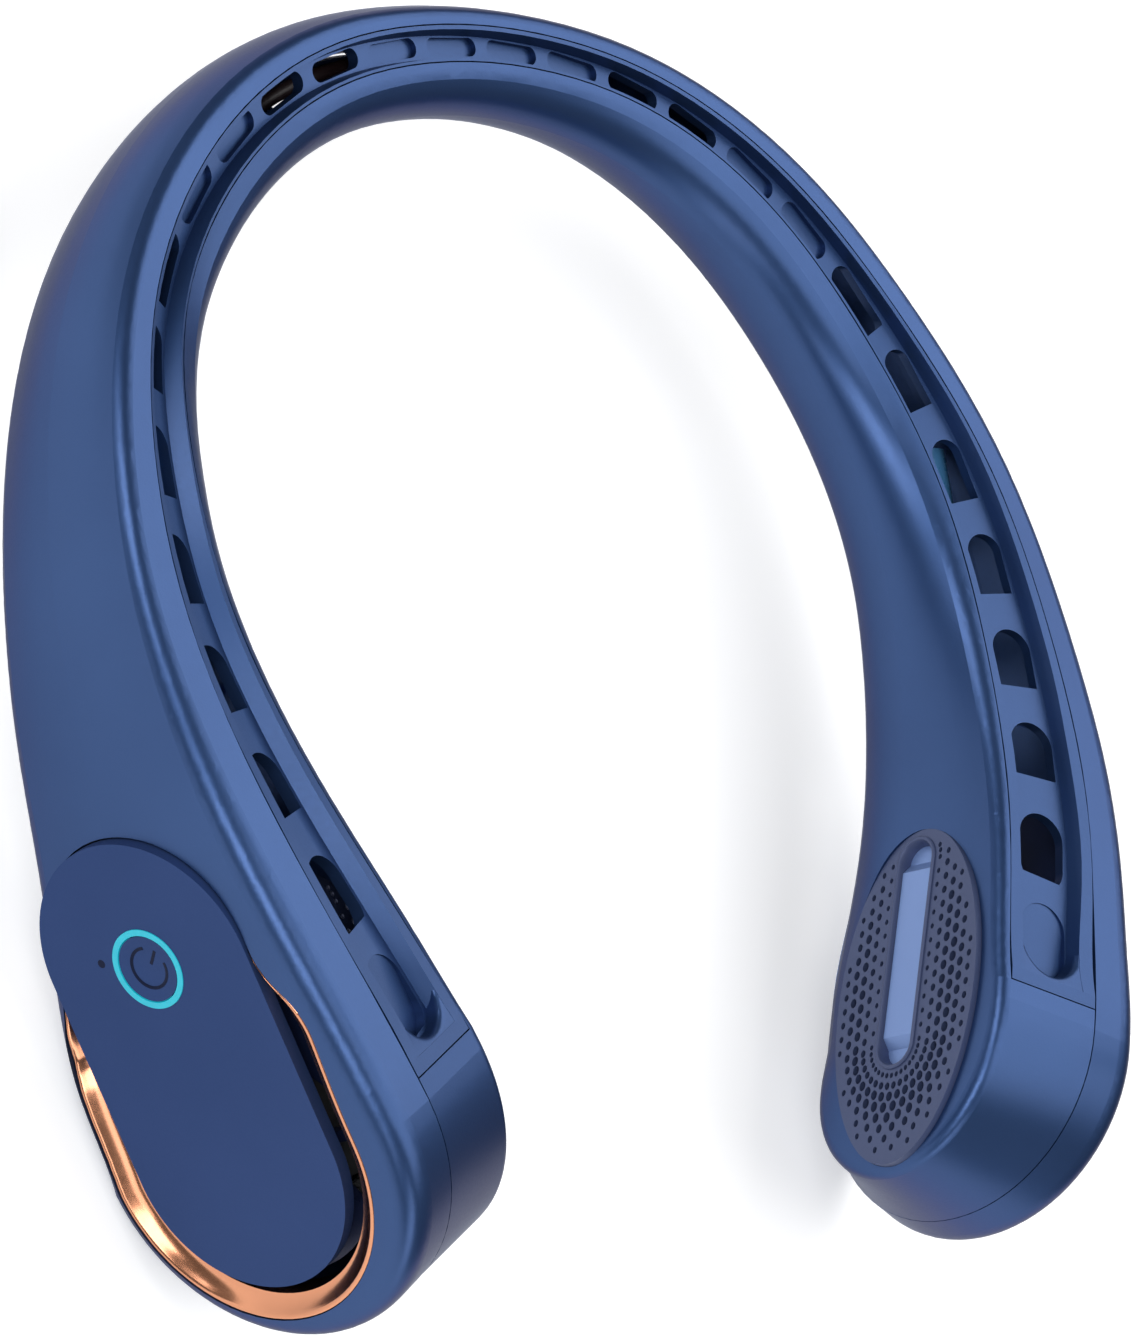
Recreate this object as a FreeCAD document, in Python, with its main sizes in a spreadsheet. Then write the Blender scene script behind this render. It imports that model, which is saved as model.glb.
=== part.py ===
import FreeCAD, Part
import math
import os
from FreeCAD import Placement, Rotation, Vector

# Electric neck fan: a U-shaped housing in two shells, an air-outlet strip above and below,
# and a blower in the pod at the end of each arm. Millimetres, +Z up, opening of the U to -Y,
# origin where the nape of the neck rests on the inner side of the U, at half its height.
# Places along the U are measured from the nape along the line of the slots, in mm.

DIMENSIONS = [
    ("nape_radius", 103.0), ("nape_angle", 13.8),
    ("shoulder_radius", 77.6), ("shoulder_angle", 97.9),
    ("arm_radius", 132.0), ("arm_angle", 112.8),
    ("pod_at", 200.2), ("pod_pitch", 3.0), ("section_step", 15.0), ("wall", 1.8), ("seam_gap", 0.2),
    ("hairline", 0.25), ("snug", 0.05),
    # outlet strips
    ("strip_end", 197.2), ("strip_depth", 4.0), ("channel_depth", 2.2), ("channel_margin", 0.6),
    ("channel_bevel", 1.0), ("slot_share", 0.52), ("web_width", 2.4), ("blind_depth", 0.9),
    ("back_pitch", 12.8), ("arm_pitch", 14.85),
    # intake covers and trim rings, in the face of the pods
    ("cover_radius", 17.2), ("lobe_distance", 29.4), ("cover_face", 18.6), ("cover_thick", 2.0),
    ("rim_radius", 22.0), ("flare_length", 14.0), ("ring_lip", 1.1), ("ring_depth", 5.6),
    ("ring_slope", 1.9),
    # spoked guard behind each cover
    ("guard_thick", 1.5), ("guard_radius", 17.6), ("guard_inlet", 11.4), ("guard_hub", 5.0),
    ("guard_spokes", 6), ("spoke_width", 1.6), ("post_radius", 2.2),
    # perforated grille on the neck side
    ("grille_half_length", 26.2), ("grille_half_height", 13.6), ("grille_rise", 6.3),
    ("grille_back", 3.5), ("grille_thick", 1.5), ("grille_face", 9.1), ("grille_tilt", 3.0),
    ("trough_length", 35.0), ("trough_radius", 3.0), ("trough_back", 6.9), ("trough_depth", 1.8),
    ("trough_wall", 0.8),
    # blower, its axis above that of the lower lobe
    ("blower_rise", 6.2), ("impeller_radius", 11.2), ("blade_inner", 8.8), ("blade_thick", 0.6),
    ("blade_count", 31), ("blade_turn", 14.0), ("impeller_low", -0.4), ("impeller_high", 9.6),
    ("impeller_rim", 1.4), ("hub_radius", 8.0), ("hub_wall", 0.8), ("hub_top", 7.0), ("disc_thick", 1.0),
    ("scroll_start", 11.7), ("scroll_end", 12.0), ("scroll_wall", 1.0), ("scroll_floor", -3.4),
    ("floor_thick", 1.2), ("floor_inlet", 10.8), ("floor_hub", 8.4), ("duct_length", 14.0),
    ("shaft_radius", 1.0), ("shaft_play", 0.03), ("shaft_low", -0.7), ("bearing_radius", 2.2),
    ("stator_radius", 5.7), ("stator_low", -0.4), ("stator_high", 4.0), ("stator_bore", 3.0),
    ("pole_count", 9), ("pole_width", 1.4), ("magnet_wall", 0.9), ("base_thick", 1.2), ("boss_top", 4.2),
    # controls in the left pod
    ("button_radius", 4.6), ("button_travel", 0.5), ("button_along", -29.0), ("button_rise", 0.0),
    ("button_flange", 5.4), ("flange_thick", 0.5), ("button_play", 0.15), ("button_dish", 0.5),
    ("light_width", 0.9), ("light_depth", 1.8), ("light_proud", 0.1),
    ("pipe_radius", 0.6), ("pipe_along", -30.9), ("pipe_rise", -7.4),
    ("board_radius", 13.0), ("board_thick", 1.2), ("board_lift", 0.05),
    ("switch_size", 4.5), ("switch_height", 0.7), ("socket_along", -30.0), ("socket_recess", 0.6),
    ("socket_width", 8.9), ("socket_thick", 3.2), ("socket_length", 7.3),
    # cells and wires
    ("cell_radius", 5.2), ("cell_length", 44.0), ("cell_at", 130.0), ("cell_out", 1.5),
    ("rib_thick", 1.6),
    ("wire_radius", 1.1), ("wire_end", 102.5), ("wire_drop", 2.3),
    # fasteners
    ("screw_radius", 0.9), ("screw_head", 1.7), ("head_height", 0.9), ("screw_length", 2.4),
    ("screw_circle", 6.7),
]

# Section of the housing at six named places: each row gives the place along the U and, from
# the slot line, the reach of the outer ridge, outer side, inner side, outer seam and inner edge,
# then the heights above the middle line of the ridge, outer seam and inner edge, the rise of the
# middle line, the rounding of the ridge and of the inner edge, and below the middle line the
# depth of the ridge, the reach and depth of the lower inner edge, and the depth of the lower seam.
SECTION_NAMES = ["place", "ridge", "outside", "inside", "seam", "inlet", "ridge_half", "seam_half",
                 "inlet_half", "rise", "ridge_round", "inlet_round", "low_half", "low_inlet",
                 "low_inlet_half", "low_seam_half"]
SECTIONS = [
    ("back", [0.0, 4.8, 6.6, 9.0, 2.6, 4.2, 6.3, 6.4, 6.2, 0.0, 1.2, 1.2, 6.9, 5.0, 9.4, 7.0]),
    ("shoulder", [77.0, 8.4, 11.4, 9.0, 4.8, 3.4, 8.7, 8.5, 6.2, 0.0, 1.4, 1.5, 10.4, 5.6, 10.0, 10.2]),
    ("arm", [122.0, 12.5, 14.8, 9.6, 7.0, 5.6, 13.0, 13.3, 9.9, 1.2, 1.8, 1.8, 12.2, 5.6, 9.9, 12.4]),
    ("collar", [160.0, 16.6, 18.4, 9.2, 8.7, 7.2, 20.4, 20.2, 16.0, 1.0, 3.2, 1.8, 17.3, 5.6, 10.6, 17.0]),
    ("flare", [181.0, 18.0, 19.0, 9.2, 9.0, 8.0, 25.4, 24.7, 20.8, -0.8, 4.0, 1.8, 23.6, 5.8, 10.6, 21.6]),
    ("pod", [200.2, 18.8, 19.3, 9.2, 9.2, 8.5, 28.6, 27.6, 24.2, -2.2, 4.5, 1.8, 24.8, 6.0, 10.8, 22.4]),
]
INSET_ROUND = 0.3
END_HOLE = 5.0
END_TURNS = 12
END_REACH = 2.4
END_CUT = 1.6
INSET_SHARE = 0.8
BACK_SLOTS = 6
ARM_SLOTS = 8
BLIND_SLOTS = (0, 1, 4, 5, 13)

doc = FreeCAD.newDocument("neck_fan")
sheet = doc.addObject("Spreadsheet::Sheet", "sizes")
all_sizes = list(DIMENSIONS)
for station, row in SECTIONS:
    all_sizes += [(f"{station}_{name}", value) for name, value in zip(SECTION_NAMES, row)]
for number, (alias, value) in enumerate(all_sizes, start=1):
    sheet.set(f"A{number}", alias)
    sheet.set(f"B{number}", str(value))
    sheet.setAlias(f"B{number}", alias)
doc.recompute()


def size(alias):
    return float(sheet.get(alias))


UP = Vector(0, 0, 1)
OUT = Vector(0, 1, 0)


# The line of the slots in plan: three tangent arcs and a straight run, mirrored at the nape
def spine(place):
    arcs = [(size("nape_radius"), size("nape_angle")), (size("shoulder_radius"), size("shoulder_angle")),
            (size("arm_radius"), size("arm_angle"))]
    x, y, heading, left = 0.0, size("back_inside"), 0.0, abs(place)
    for radius, end_angle in arcs:
        turn = min(left / radius, math.radians(end_angle) - heading)
        x += radius * (math.sin(heading + turn) - math.sin(heading))
        y -= radius * (math.cos(heading) - math.cos(heading + turn))
        heading += turn
        left -= radius * turn
        if left < 1e-9:
            break
    x += left * math.cos(heading)
    y -= left * math.sin(heading)
    side = -1.0 if place < 0 else 1.0
    outward = Vector(side * math.sin(heading), math.cos(heading), 0)
    along = Vector(math.cos(heading), -side * math.sin(heading), 0)
    return Vector(side * x, y, 0), along, outward


# Smooth value of one section size between the named places, flat at the nape and at the pod
def section_size(name, place):
    knots = [(size(f"{station}_place"), size(f"{station}_{name}")) for station, row in SECTIONS]
    at = min(abs(place), knots[-1][0])
    chords = [(b[1] - a[1]) / (b[0] - a[0]) for a, b in zip(knots, knots[1:])]
    slopes = [0.0]
    for before, after in zip(chords, chords[1:]):
        slopes.append(2 * before * after / (before + after) if before * after > 0 else 0.0)
    slopes.append(0.0)
    for index in range(len(knots) - 1):
        (p0, v0), (p1, v1) = knots[index], knots[index + 1]
        if at <= p1:
            break
    span = p1 - p0
    f = (at - p0) / span
    return ((1 + 2 * f) * (1 - f) ** 2 * v0 + f * (1 - f) ** 2 * span * slopes[index]
            + f * f * (3 - 2 * f) * v1 + f * f * (f - 1) * span * slopes[index + 1])


# Point of the section at a place: out from the slot line, up from the middle line
def spot(place, out, up):
    point, along, outward = spine(place)
    return point + outward * out + UP * (section_size("rise", place) + up)


def line(a, b):
    return Part.LineSegment(a, b).toShape()


def arc(a, b, c):
    return Part.Arc(a, b, c).toShape()


def corner(a, b, c):
    curve = Part.BezierCurve()
    curve.setPoles([a, b, c])
    return curve.toShape()


def face(edges):
    return Part.Face(Part.Wire(Part.__sortEdges__(edges)))


def toward(a, b, distance):
    step = (b[0] - a[0], b[1] - a[1])
    share = distance / math.hypot(*step)
    return (a[0] + step[0] * share, a[1] + step[1] * share)


# Half of the housing section, from the inner side to the outer side, set in by a wall. A share of
# 0 gives the upper half and 1 the lower half, with heights counted away from the middle line. The
# inner edge reaches further at the front of a pod.
def half_section(place, inset, share, front=0.0):
    get = {name: section_size(name, place) for name in SECTION_NAMES[1:]}

    def mix(upper, lower):
        return upper * (1 - share) + lower * share

    ridge_half = mix(get["ridge_half"], get["low_half"]) - END_CUT * front
    early = math.sqrt(share)
    seam_half = get["seam_half"] * (1 - early) + get["low_seam_half"] * early
    inlet_half = mix(get["inlet_half"], get["low_inlet_half"]) + END_REACH * front
    inlet = (-mix(get["inlet"], get["low_inlet"]) + INSET_SHARE * inset, inlet_half - inset)
    inlet_round = INSET_ROUND if inset > 0 else get["inlet_round"]
    seam = (get["seam"], seam_half - inset)
    ridge = (get["ridge"] - inset, ridge_half - inset)
    ridge_round = min(get["ridge_round"], 0.85 * math.hypot(ridge[0] - seam[0], ridge[1] - seam[1]))
    inside = get["inside"] - inset
    outside = get["outside"] - inset
    inner_centre = (inlet[0] ** 2 + inlet[1] ** 2 - inside ** 2) / (2 * (inside + inlet[0]))
    inner_radius = inside + inner_centre
    outer_centre = (outside ** 2 - ridge[0] ** 2 - ridge[1] ** 2) / (2 * (outside - ridge[0]))
    outer_radius = outside - outer_centre
    inner_angle = math.atan2(inlet[1], inlet[0] - inner_centre) + inlet_round / inner_radius
    outer_angle = math.atan2(ridge[1], ridge[0] - outer_centre) - ridge_round / outer_radius

    def on_inner(angle):
        return (inner_centre + inner_radius * math.cos(angle), inner_radius * math.sin(angle))

    def on_outer(angle):
        return (outer_centre + outer_radius * math.cos(angle), outer_radius * math.sin(angle))

    points = {"inside": (-inside, 0.0), "inlet": inlet, "outside": (outside, 0.0), "seam": seam,
              "on_inner": on_inner(inner_angle), "inner_mid": on_inner((math.pi + inner_angle) / 2),
              "on_outer": on_outer(outer_angle), "outer_mid": on_outer(outer_angle / 2),
              "inlet_top": toward(inlet, seam, inlet_round),
              "parting": toward(seam, inlet, size("seam_gap")),
              "ridge_top": toward(ridge, seam, ridge_round), "ridge": ridge, "core": (get["seam"], END_HOLE)}
    if inner_radius > END_HOLE and outer_radius > END_HOLE:
        inner_stop = math.pi - math.asin(END_HOLE / inner_radius)
        outer_stop = math.asin(END_HOLE / outer_radius)
        points["inner_stop"] = on_inner(inner_stop)
        points["inner_rest"] = on_inner((inner_stop + inner_angle) / 2)
        points["outer_stop"] = on_outer(outer_stop)
        points["outer_rest"] = on_outer((outer_stop + outer_angle) / 2)
    return points


def section_points(place, inset, sign):
    flat = half_section(place, inset, 0.0 if sign > 0 else 1.0)
    return {name: spot(place, u, sign * z) for name, (u, z) in flat.items()}


# Line of the outer shell's section from the upper seam round the outside to the lower seam
def outer_run(place, inset):
    top, low = section_points(place, inset, 1), section_points(place, inset, -1)
    edges = [line(top["seam"], top["ridge_top"]), corner(top["ridge_top"], top["ridge"], top["on_outer"]),
             arc(top["on_outer"], top["outer_mid"], top["outside"]),
             arc(top["outside"], low["outer_mid"], low["on_outer"]),
             corner(low["on_outer"], low["ridge"], low["ridge_top"]), line(low["ridge_top"], low["seam"])]
    return edges, top["seam"], low["seam"]


# Line of the inner shell's section beside the outlet strips
def inner_run(place, inset):
    top, low = section_points(place, inset, 1), section_points(place, inset, -1)
    edges = [corner(top["inlet_top"], top["inlet"], top["on_inner"]),
             arc(top["on_inner"], top["inner_mid"], top["inside"]),
             arc(top["inside"], low["inner_mid"], low["on_inner"]),
             corner(low["on_inner"], low["inlet"], low["inlet_top"])]
    return edges, top["inlet_top"], low["inlet_top"]


# Line of the inner shell's section past the end of the strips, up to the outer shell
def pod_run(place, inset):
    top, low = section_points(place, inset, 1), section_points(place, inset, -1)
    edges = inner_run(place, inset)[0]
    edges = [line(top["parting"], top["inlet_top"])] + edges + [line(low["inlet_top"], low["parting"])]
    return edges, top["parting"], low["parting"]


def wall_section(run, place):
    outer, outer_top, outer_low = run(place, 0.0)
    inner, inner_top, inner_low = run(place, size("wall"))
    edges = outer + [line(outer_low, inner_low)] + inner[::-1] + [line(inner_top, outer_top)]
    return Part.Wire(Part.__sortEdges__(edges))


def places(end):
    count = math.ceil(end / size("section_step"))
    return [end * index / count for index in range(-count, count + 1)]


def loft(wires, straight=False):
    solid = Part.makeLoft(wires, True, straight)
    if solid.Volume < 0:
        solid.reverse()
    return solid


def wall_loft(run, stops):
    return loft([wall_section(run, place) for place in stops])


# Rounded end of a pod: the half section turned about the axis of the lower lobe from top to
# bottom, while it passes from the upper form to the lower one
def turned_end(side, profile):
    place = side * size("pod_at")
    middle = spot(place, 0, 0)
    point, along, outward = spine(place)
    wires = []
    for index in range(END_TURNS + 1):
        angle = math.pi * index / END_TURNS
        share = ((1 - math.cos(angle)) / 2) ** 2
        ray = UP * math.cos(angle) + along * side * math.sin(angle)
        flats = [half_section(place, inset, share, math.sin(angle) ** 2) for inset in (0.0, size("wall"))]
        lifted = [{name: middle + outward * u + ray * z for name, (u, z) in flat.items()}
                  for flat in flats]
        wires.append(Part.Wire(Part.__sortEdges__(profile(*lifted))))
    return loft(wires)


def outer_profile(a, b):
    edges = [line(a["seam"], b["seam"]), line(a["outer_stop"], b["outer_stop"])]
    for p in (a, b):
        edges += [line(p["seam"], p["ridge_top"]), corner(p["ridge_top"], p["ridge"], p["on_outer"]),
                  arc(p["on_outer"], p["outer_rest"], p["outer_stop"])]
    return edges


def inner_profile(a, b):
    edges = [line(a["parting"], b["parting"]), line(a["inner_stop"], b["inner_stop"])]
    for p in (a, b):
        edges += [line(p["parting"], p["inlet_top"]), corner(p["inlet_top"], p["inlet"], p["on_inner"]),
                  arc(p["on_inner"], p["inner_rest"], p["inner_stop"])]
    return edges


def front_profile(a, b):
    return [line(a["core"], a["seam"]), line(a["seam"], a["ridge_top"]),
            corner(a["ridge_top"], a["ridge"], a["on_outer"]),
            arc(a["on_outer"], a["outer_rest"], a["outer_stop"]), line(a["outer_stop"], a["core"])]


# Section of an outlet strip with its recessed channel, or solid at the closed end
def strip_section(place, side, channel):
    share = 0.0 if side > 0 else 1.0
    flat = half_section(place, 0.0, share)
    inner, outer = flat["inlet_top"], flat["parting"]
    gap, depth = size("seam_gap"), size("strip_depth")
    width = math.hypot(outer[0] - inner[0], outer[1] - inner[1])
    across = ((outer[0] - inner[0]) / width, (outer[1] - inner[1]) / width)

    def at(distance, below):
        return spot(place, inner[0] + across[0] * distance + across[1] * below,
                    side * (inner[1] + across[1] * distance - across[0] * below))

    behind = half_section(place, size("wall"), share)["inlet_top"]
    step = (behind[0] - inner[0], behind[1] - inner[1])
    lean = (step[0] * across[0] + step[1] * across[1]) / (step[0] * across[1] - step[1] * across[0])
    flank = gap + max(lean, 0.0) * depth
    slot_share = size("slot_share")
    slot_from = max((1 - slot_share) * width / 2, flank + 0.15)
    slot_to = min(max((1 + slot_share) * width / 2, slot_from + 1.6), width - 0.7)
    corners = [at(gap, 0.0)]
    if channel:
        floor_from = max(slot_from - size("channel_margin"), 1.0)
        floor_to = min(slot_to + size("channel_margin"), width - 1.0)
        corners += [at(max(floor_from - size("channel_bevel"), 0.6), 0.0),
                    at(floor_from, size("channel_depth")), at(floor_to, size("channel_depth")),
                    at(min(floor_to + size("channel_bevel"), width - 0.6), 0.0)]
    corners += [at(width, 0.0), at(width - max(across[1] / across[0], 0.0) * depth, depth), at(flank, depth)]
    return corners, (slot_from, slot_to), at


def strip_loft(stops, side, channel):
    wires = []
    for place in stops:
        corners = strip_section(place, side, channel)[0]
        wires.append(Part.makePolygon(corners + corners[:1]))
    return loft(wires)


# Place along the U and length of each slot, from the nape to the pod
def slot_rows():
    rows = []
    for index in range(BACK_SLOTS + ARM_SLOTS):
        pitch = size("back_pitch") if index < BACK_SLOTS else size("arm_pitch")
        start = index * pitch
        if index >= BACK_SLOTS:
            start = BACK_SLOTS * size("back_pitch") + (index - BACK_SLOTS) * pitch
        rows.append((start + pitch / 2, pitch - size("web_width"), index in BLIND_SLOTS))
    return rows


def long_hole(length, width):
    half, radius = (length - width) / 2, width / 2
    return face([line(Vector(-half, -radius, 0), Vector(half, -radius, 0)),
                 arc(Vector(half, -radius, 0), Vector(half + radius, 0, 0), Vector(half, radius, 0)),
                 line(Vector(half, radius, 0), Vector(-half, radius, 0)),
                 arc(Vector(-half, radius, 0), Vector(-half - radius, 0, 0), Vector(-half, -radius, 0))])


def slot_cutters(side):
    cutters = []
    for where, length, blind in slot_rows():
        for place in (-where, where):
            corners, (slot_from, slot_to), at = strip_section(place, side, True)
            low = size("channel_depth") + size("blind_depth") if blind else size("strip_depth") + 1.0
            middle = (slot_from + slot_to) / 2
            foot, head = at(middle, low), at(middle, size("channel_depth") - 0.5)
            cutter = long_hole(length, slot_to - slot_from).extrude(UP * (head - foot).Length)
            cutter.Placement = Placement(foot, Rotation(spine(place)[1], Vector(), head - foot, "ZXY"))
            cutters.append(cutter)
    return cutters


def outlet_strip(side):
    last = slot_rows()[-1]
    channel_end = last[0] + last[1] / 2 + size("channel_margin")
    end = size("strip_end") - size("seam_gap")
    strip = strip_loft(places(channel_end), side, True)
    caps = [strip_loft([channel_end, end], side, False), strip_loft([-channel_end, -end], side, False)]
    return strip.fuse(caps).cut(slot_cutters(side))


# Solid front half of the right arm and pod, used to finish the trim rings flush with it
def pod_form():
    stops = [place for place in places(size("pod_at")) if place > size("pod_at") / 2]
    wires = []
    for place in stops:
        outer, top, low = outer_run(place, 0.0)
        wires.append(Part.Wire(Part.__sortEdges__(outer + [line(low, top)])))
    return loft(wires).fuse(turned_end(1, front_profile))


# Frame of the right pod: X forward along the arm, Y outward, Z up, on the axis of the lower lobe
POD = Placement(spot(size("pod_at"), 0, 0),
                Rotation(UP, -size("arm_angle")) * Rotation(OUT, size("pod_pitch")))
BLOWER = POD * Placement(Vector(0, 0, size("blower_rise")), Rotation())
nodes = []


def solid_of(shape):
    return shape.Solids[0] if len(shape.Solids) == 1 else shape


def feature(name, shape, place=Placement()):
    thing = doc.addObject("Part::Feature", name)
    thing.Shape = solid_of(shape)
    thing.Placement = place
    return thing


def bind(thing, formulas):
    for name, formula in formulas.items():
        thing.setExpression(name, formula)
    return thing


# Round bar along the pod's outward axis, its foot at the given height
def bar(name, radius, low, high, along=0.0, rise=0.0, base=POD):
    thing = bind(doc.addObject("Part::Cylinder", name), {"Radius": radius, "Height": f"({high}) - ({low})"})
    doc.recompute()
    foot = thing.evalExpression(low)
    thing.Placement = base * Placement(Vector(along, float(foot), rise), Rotation(Vector(1, 0, 0), -90))
    return thing


def block(name, length, depth, height, corner_at):
    thing = doc.addObject("Part::Box", name)
    bind(thing, {"Length": length, "Width": depth, "Height": height})
    thing.Placement = POD * Placement(corner_at, Rotation())
    return thing


def joined(name, pieces):
    thing = doc.addObject("Part::MultiFuse", name)
    thing.Shapes = pieces
    return thing


def less(name, base, tool):
    thing = doc.addObject("Part::Cut", name)
    thing.Base = base
    thing.Tool = tool
    return thing


def mirrored(name, source):
    thing = doc.addObject("Part::Mirroring", name)
    thing.Source = source
    thing.Normal = (1, 0, 0)
    return thing


def node(thing, label):
    thing.Label = label
    nodes.append(thing)


# A piece of the right pod and its mirror image in the left pod
def pair(thing, label):
    node(thing, "right_" + label)
    node(mirrored("left_" + label + "_copy", thing), "left_" + label)


# Long-oval outline in the pod's face: a lower lobe flaring by S-curves from the upper lobe
def oval(lower, upper, height):
    lobe = -size("lobe_distance")

    def at(x, z):
        return Vector(x, height, z)

    edges = [arc(at(0, lower), at(lower, 0), at(0, -lower)),
             arc(at(lobe, upper), at(lobe - upper, 0), at(lobe, -upper))]
    if abs(lower - upper) < 1e-6:
        edges += [line(at(lobe, s * upper), at(0, s * upper)) for s in (1, -1)]
        return Part.Wire(Part.__sortEdges__(edges))
    start, end = lobe, lobe + size("flare_length")
    for s in (1, -1):
        middle = at((start + end) / 2, s * (lower + upper) / 2)
        edges.append(corner(at(start, s * upper), at((3 * start + end) / 4, s * upper), middle))
        edges.append(corner(middle, at((start + 3 * end) / 4, s * lower), at(end, s * lower)))
        edges.append(line(at(end, s * lower), at(0, s * lower)))
    return Part.Wire(Part.__sortEdges__(edges))


def oval_prism(lower, upper, low, high):
    return Part.Face(oval(lower, upper, low)).extrude(OUT * (high - low))


def ring_of(outer, inner, low, high, along=0.0, rise=0.0):
    base = Vector(along, low, rise)
    hole = Part.makeCylinder(inner, high - low, base, OUT)
    return Part.makeCylinder(outer, high - low, base, OUT).cut(hole)


def in_pod(shape, base=POD):
    shape.Placement = base * shape.Placement
    return shape


def both_sides(shape):
    return [shape, shape.mirror(Vector(), Vector(1, 0, 0))]


# Housing shells and strips
face_at = size("cover_face")
ring_low = face_at - size("ring_depth")
pocket_upper = size("cover_radius") + size("hairline")
pocket = in_pod(oval_prism(size("rim_radius"), pocket_upper, ring_low - 0.2, face_at + 5.0))


# Frame of the grille: its plate leans a little, the lower edge set further in
GRILLE = Placement(Vector(-size("grille_back"), -size("grille_face"), size("grille_rise")),
                   Rotation(Vector(1, 0, 0), size("grille_tilt")))


def grille_plate(play, low, high):
    tip = Vector(size("grille_half_length") - play, low, 0)
    crown = Vector(0, low, size("grille_half_height") - play)
    outline = Part.Ellipse(tip, crown, Vector(0, low, 0)).toShape()
    plate = Part.Face(Part.Wire(outline)).extrude(OUT * (high - low))
    plate.Placement = GRILLE
    return plate


opening = in_pod(grille_plate(0.0, -2.0, size("wall") + 2.0))
outer_shell = wall_loft(outer_run, places(size("pod_at")))
outer_shell = outer_shell.fuse([turned_end(side, outer_profile) for side in (1, -1)])
outer_shell = outer_shell.cut(both_sides(pocket))


# Cradle ribs on the inner shell that carry the cells
def cell_ribs(place):
    point, along, outward = spine(place)
    ribs = []
    for share in (-0.3, 0.3):
        rib_at = place + share * size("cell_length")
        depth = section_size("inside", rib_at) - size("wall") / 2
        start = spine(rib_at)[0] - spine(rib_at)[2] * depth + UP * section_size("rise", rib_at)
        rib = Part.makeBox(size("rib_thick"), depth, size("cell_radius"),
                           Vector(-size("rib_thick") / 2, 0, -size("cell_radius") / 2))
        rib.Placement = Placement(start, Rotation(spine(rib_at)[1], spine(rib_at)[2], UP, "XYZ"))
        ribs.append(rib)
    foot = spot(place, size("cell_out"), 0) - along * size("cell_length")
    room = Part.makeCylinder(size("cell_radius"), 2 * size("cell_length"), foot, along)
    return [rib.cut(room) for rib in ribs]


inner_shell = wall_loft(inner_run, places(size("strip_end")))
short_runs = [wall_loft(pod_run, [side * size("strip_end"), side * size("pod_at")]) for side in (1, -1)]
right_ribs = cell_ribs(size("cell_at"))
left_ribs = [rib.mirror(Vector(), Vector(1, 0, 0)) for rib in right_ribs]
inner_ends = [turned_end(side, inner_profile) for side in (1, -1)]
inner_shell = inner_shell.fuse(short_runs + inner_ends + right_ribs + left_ribs)
inner_shell = inner_shell.cut(both_sides(opening))
board_low = ring_low + size("board_lift")
board_high = board_low + size("board_thick")
socket_low = board_low
underside = half_section(size("pod_at") + size("socket_along"), 0.0, 1.0)["seam"]
mouth_at = spot(size("pod_at") + size("socket_along"), underside[0] + 3.0, -underside[1])
socket_foot_z = POD.inverse().multVec(mouth_at).z + size("socket_recess")
port = Part.makeBox(size("socket_width") + 0.4, size("socket_thick") + 0.4, 15.0,
                    Vector(size("socket_along") - size("socket_width") / 2 - 0.2, socket_low - 0.2,
                           socket_foot_z - 10.0))
port = in_pod(port).mirror(Vector(), Vector(1, 0, 0))
outer_shell = outer_shell.cut(port)
node(feature("outer_shell_form", outer_shell), "outer_shell")
node(feature("inner_shell_form", inner_shell), "inner_shell")
node(feature("top_strip_form", outlet_strip(1)), "top_outlet_strip")
node(feature("bottom_strip_form", outlet_strip(-1)), "bottom_outlet_strip")

# Trim ring: flush with the pod outside, its inner wall sloping in toward the bottom
snug = size("snug")
ring_form = oval_prism(size("rim_radius") - snug, pocket_upper - snug, ring_low, face_at + 2.0)
top_line = size("rim_radius") - size("ring_lip")
mouth = loft([oval(top_line - size("ring_slope"), pocket_upper + 0.5, ring_low - 0.01),
              oval(top_line, pocket_upper + 0.5, face_at + 2.1)], True)
ring_form = in_pod(ring_form.cut(mouth)).common(pod_form())
pair(feature("trim_ring_form", ring_form), "trim_ring")

# Intake covers, the left one pierced for the button, its light ring and the indicator
cover_low = face_at - size("cover_thick")
cover_form = oval_prism(size("cover_radius"), size("cover_radius"), cover_low, face_at)
node(feature("right_cover_form", cover_form, POD), "right_intake_cover")
button_at = (size("button_along"), size("button_rise"))
light_inner = size("button_radius") + size("button_play")
light_outer = light_inner + size("light_width")
cover_base = feature("left_cover_blank", cover_form, POD)
button_hole = bar("button_hole", "sizes.button_radius + sizes.button_play + sizes.light_width",
                  "sizes.cover_face - sizes.cover_thick - 1", "sizes.cover_face + 1", *button_at)
pipe_hole = bar("pipe_hole", "sizes.pipe_radius", "sizes.cover_face - sizes.cover_thick - 1",
                "sizes.cover_face + 1", size("pipe_along"), size("pipe_rise"))
pierced = less("pierced_cover", cover_base, joined("cover_holes", [button_hole, pipe_hole]))
node(mirrored("left_cover_copy", pierced), "left_intake_cover")

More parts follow.
